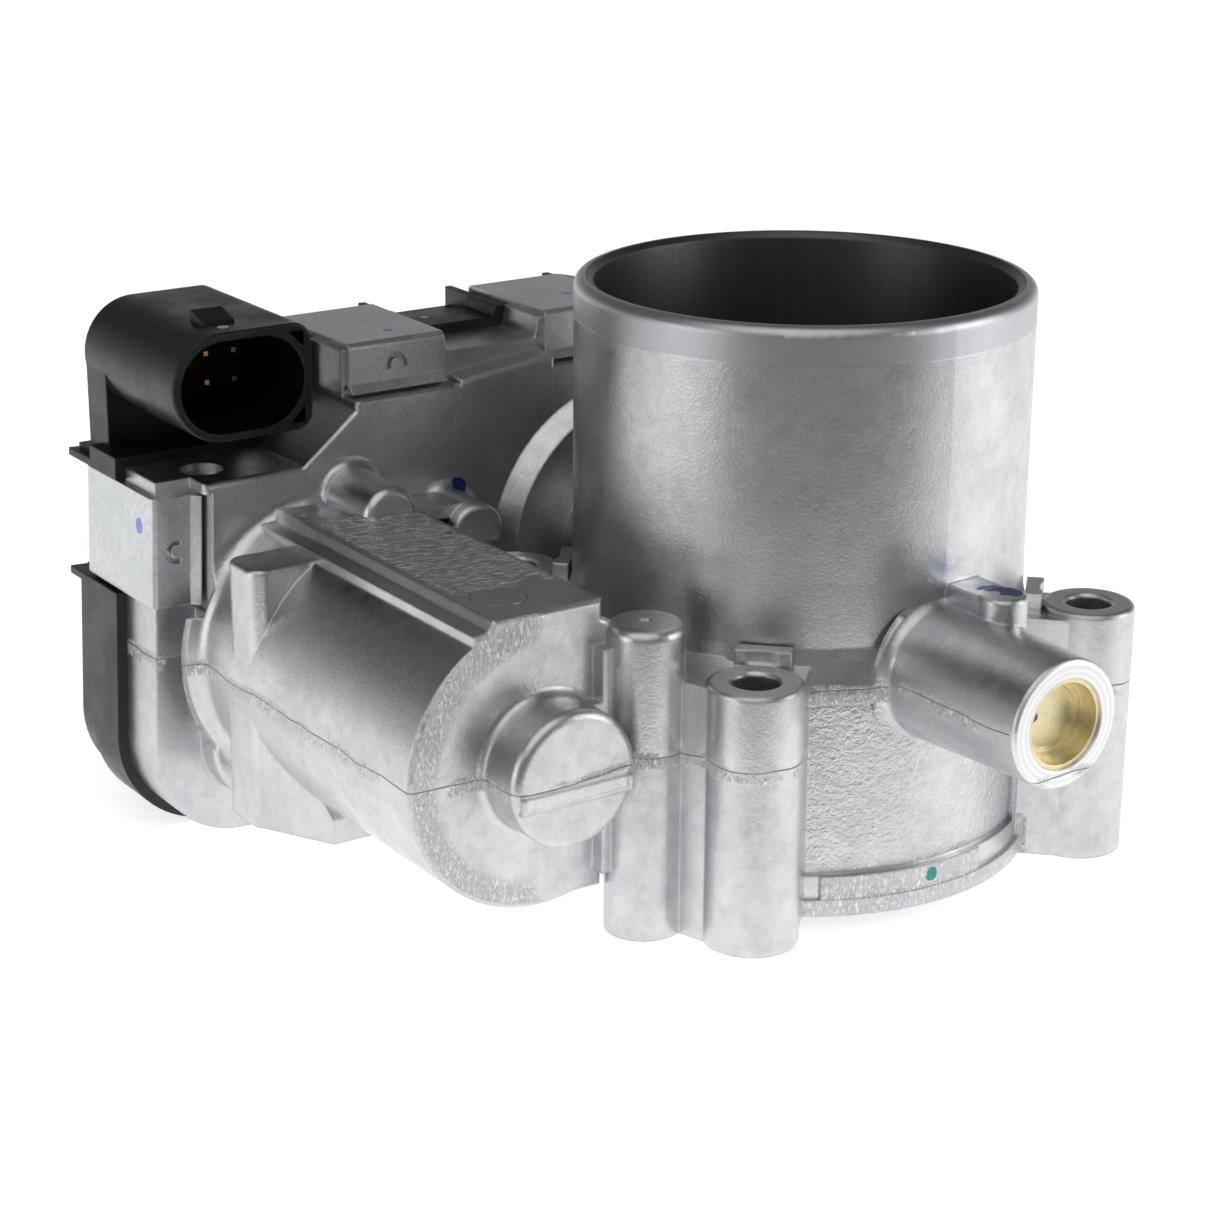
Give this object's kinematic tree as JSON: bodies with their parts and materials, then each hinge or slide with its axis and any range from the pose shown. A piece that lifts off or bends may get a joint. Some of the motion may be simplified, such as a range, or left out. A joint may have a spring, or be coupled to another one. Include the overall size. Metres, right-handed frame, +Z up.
{
  "type": "throttle body",
  "caption": "Electronic throttle body: die-cast airway with butterfly plate, motor, geared drive, clipped black cover with plug socket, hose spigot and bolted flange.",
  "frame": {"origin": "on the airway axis, in the plane of the engine-side flange face, at the centre of the four flange bolts", "axes": "+Z up the airway to the hose spigot, +X along the throttle shaft to its plugged boss, the drive motor at -Y and the gear case at -X"},
  "size_m": [0.1418, 0.1273, 0.0937],
  "materials": {
    "cast_aluminium": "die-cast, satin grain with a trimmed parting line",
    "ground_steel": "ground",
    "rolled_brass_plate": "rolled sheet",
    "gear_plastic": "moulded glass-filled plastic",
    "sintered_magnet": "bonded ferrite",
    "spring_steel": "drawn wire",
    "seal_rubber": "moulded",
    "yellow_zinc_steel": "yellow-passivated, drawn cup",
    "plated_steel": "zinc plated",
    "black_plastic": "moulded, satin",
    "sintered_bronze": "sintered",
    "lamination_steel": "stamped stack with varnished windings",
    "commutator_copper": "turned copper",
    "zinc_clip_steel": "zinc-plated sheet",
    "gold_plate": "gold flashed",
    "board_laminate": "coated laminate",
    "chip_resin": "moulded resin"
  },
  "bodies": {
    "housing": {"housing_casting": "cast_aluminium", "return_spring": "spring_steel", "ball_bearing_outer": "ground_steel", "bearing_balls": "ground_steel", "needle_cup": "ground_steel", "needle_rollers": "ground_steel", "shaft_seal": "seal_rubber", "core_plug": "yellow_zinc_steel", "motor_can": "plated_steel", "motor_front_plate": "black_plastic", "motor_bush": "sintered_bronze", "motor_magnets": "sintered_magnet", "motor_screws": "plated_steel", "motor_wave_spring": "spring_steel", "idler_pin": "ground_steel", "cover": "black_plastic", "cover_gasket": "seal_rubber", "cover_clips": "zinc_clip_steel", "connector_pins": "gold_plate", "sensor_board": "board_laminate", "sensor_chips": "chip_resin", "motor_contacts": "plated_steel"},
    "throttle": {"throttle_shaft": "ground_steel", "throttle_plate": "rolled_brass_plate", "plate_screws": "ground_steel", "sector_gear": "gear_plastic", "sensor_magnet": "sintered_magnet", "ball_bearing_inner": "ground_steel"},
    "idler": {"idler_gear": "gear_plastic"},
    "rotor": {"rotor_shaft": "ground_steel", "rotor_core": "lamination_steel", "commutator": "commutator_copper", "motor_pinion": "sintered_bronze"}
  },
  "joints": [
    {"name": "throttle_turn", "type": "hinge", "parent": "housing", "child": "throttle", "pos_m": [0, 0, 0.0362], "axis": [1, 0, 0], "range_deg": [-7, 81], "stiffness_Nm_per_rad": 0.15},
    {"name": "idler_turn", "type": "hinge", "parent": "housing", "child": "idler", "pos_m": [-0.05, -0.03601, 0.0449], "axis": [1, 0, 0], "range_deg": [-349, 31]},
    {"name": "rotor_turn", "type": "hinge", "parent": "housing", "child": "rotor", "pos_m": [-0.05, -0.05833, 0.02857], "axis": [1, 0, 0], "range_deg": [-109, 1251]}
  ],
  "couplings": [
    {"joint": "idler_turn", "follows": "throttle_turn", "ratio": -4.2857},
    {"joint": "rotor_turn", "follows": "throttle_turn", "ratio": 15.429}
  ]
}
